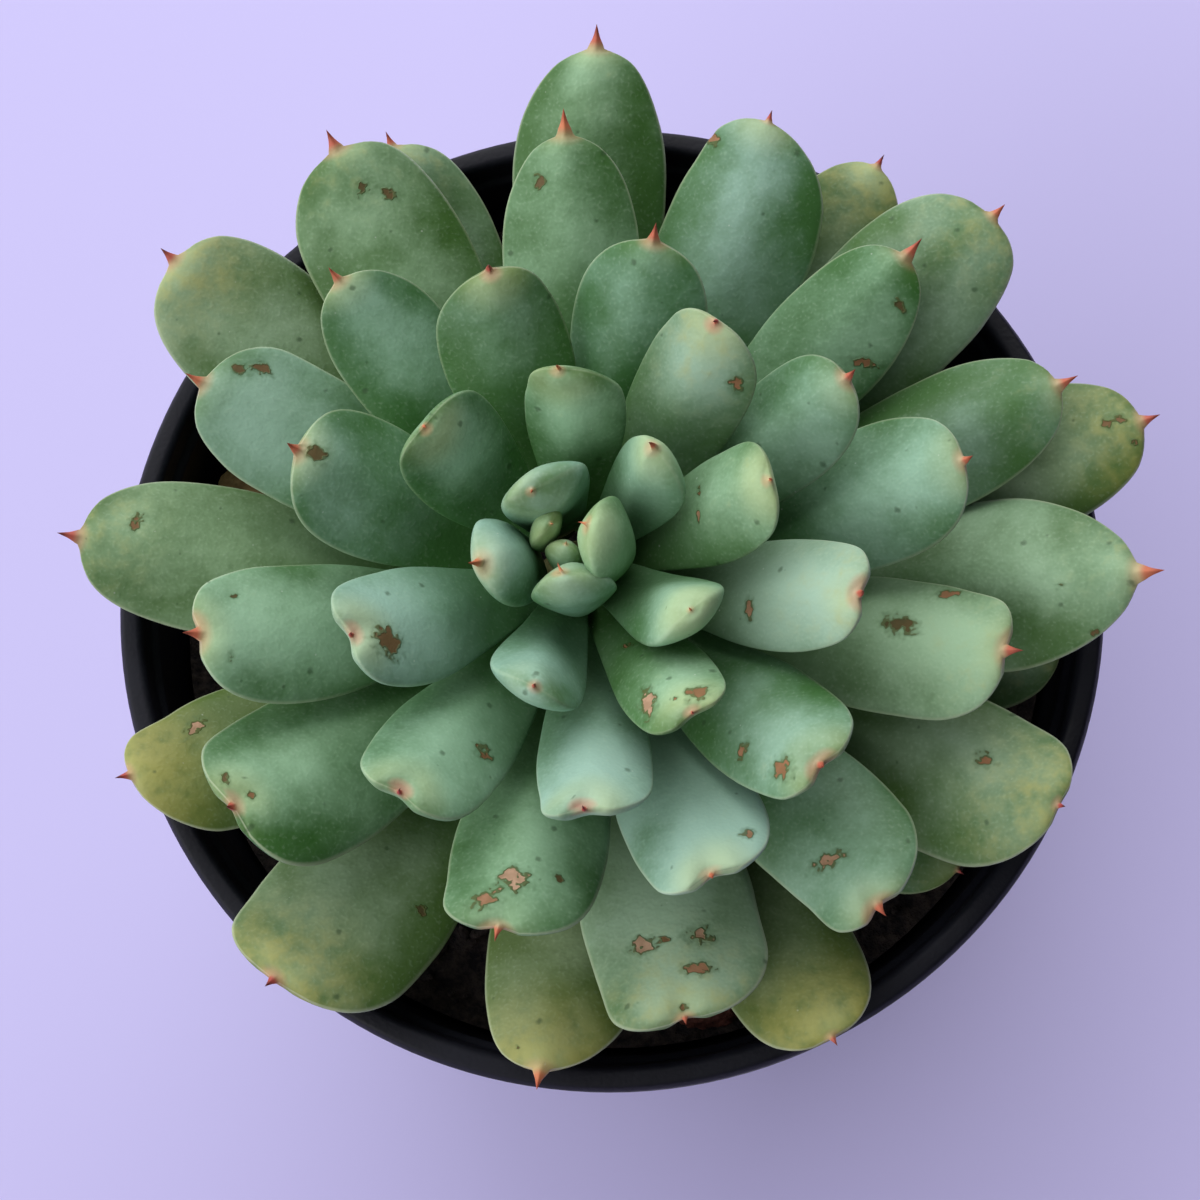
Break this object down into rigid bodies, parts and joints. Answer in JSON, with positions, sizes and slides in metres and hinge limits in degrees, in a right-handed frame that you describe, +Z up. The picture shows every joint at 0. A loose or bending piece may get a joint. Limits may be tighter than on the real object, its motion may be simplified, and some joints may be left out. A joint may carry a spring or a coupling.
{
  "type": "potted irish mint echeveria",
  "caption": "Rosette of fleshy, red-pointed blue-green leaves on a short stem, growing in potting mix in a round black plastic nursery pot.",
  "frame": {"origin": "centre of the pot's foot, on the surface it stands on", "axes": "+Z up along the pot's axis, +X and +Y across the pot"},
  "size_m": [0.1142, 0.112, 0.119],
  "materials": {
    "leaf": "pale waxy bloom on a fleshy leaf, matte",
    "stem": "matte, with leaf scars",
    "soil": "rough, crumbly peat and bark mix",
    "pot": "satin moulded polypropylene",
    "dry_leaf": "dry, papery, wrinkled",
    "perlite": "rough, porous",
    "bark": "rough, flaky"
  },
  "bodies": {
    "root": {"pot": "pot", "soil": "soil", "stem": "stem", "leaf_01": "leaf", "leaf_02": "leaf", "leaf_03": "leaf", "leaf_04": "leaf", "leaf_05": "leaf", "leaf_06": "leaf", "leaf_07": "leaf", "leaf_08": "leaf", "leaf_09": "leaf", "leaf_10": "leaf", "leaf_11": "leaf", "leaf_12": "leaf", "leaf_13": "leaf", "leaf_14": "leaf", "leaf_15": "leaf", "leaf_16": "leaf", "leaf_17": "leaf", "leaf_18": "leaf", "leaf_19": "leaf", "leaf_20": "leaf", "leaf_21": "leaf", "leaf_22": "leaf", "leaf_23": "leaf", "leaf_24": "leaf", "leaf_25": "leaf", "leaf_26": "leaf", "leaf_27": "leaf", "leaf_28": "leaf", "leaf_29": "leaf", "leaf_30": "leaf", "leaf_31": "leaf", "leaf_32": "leaf", "leaf_33": "leaf", "leaf_34": "leaf", "leaf_35": "leaf", "leaf_36": "leaf", "leaf_37": "leaf", "leaf_38": "leaf", "leaf_39": "leaf", "leaf_40": "leaf", "leaf_41": "leaf", "leaf_42": "leaf", "leaf_43": "leaf", "leaf_44": "leaf", "leaf_45": "leaf", "leaf_46": "leaf", "leaf_47": "leaf", "leaf_48": "leaf", "leaf_49": "leaf", "leaf_50": "leaf", "leaf_51": "leaf", "leaf_52": "leaf", "leaf_53": "leaf", "dry_leaf": "dry_leaf", "perlite_chip": "perlite", "bark_chip": "bark"}
  },
  "joints": []
}
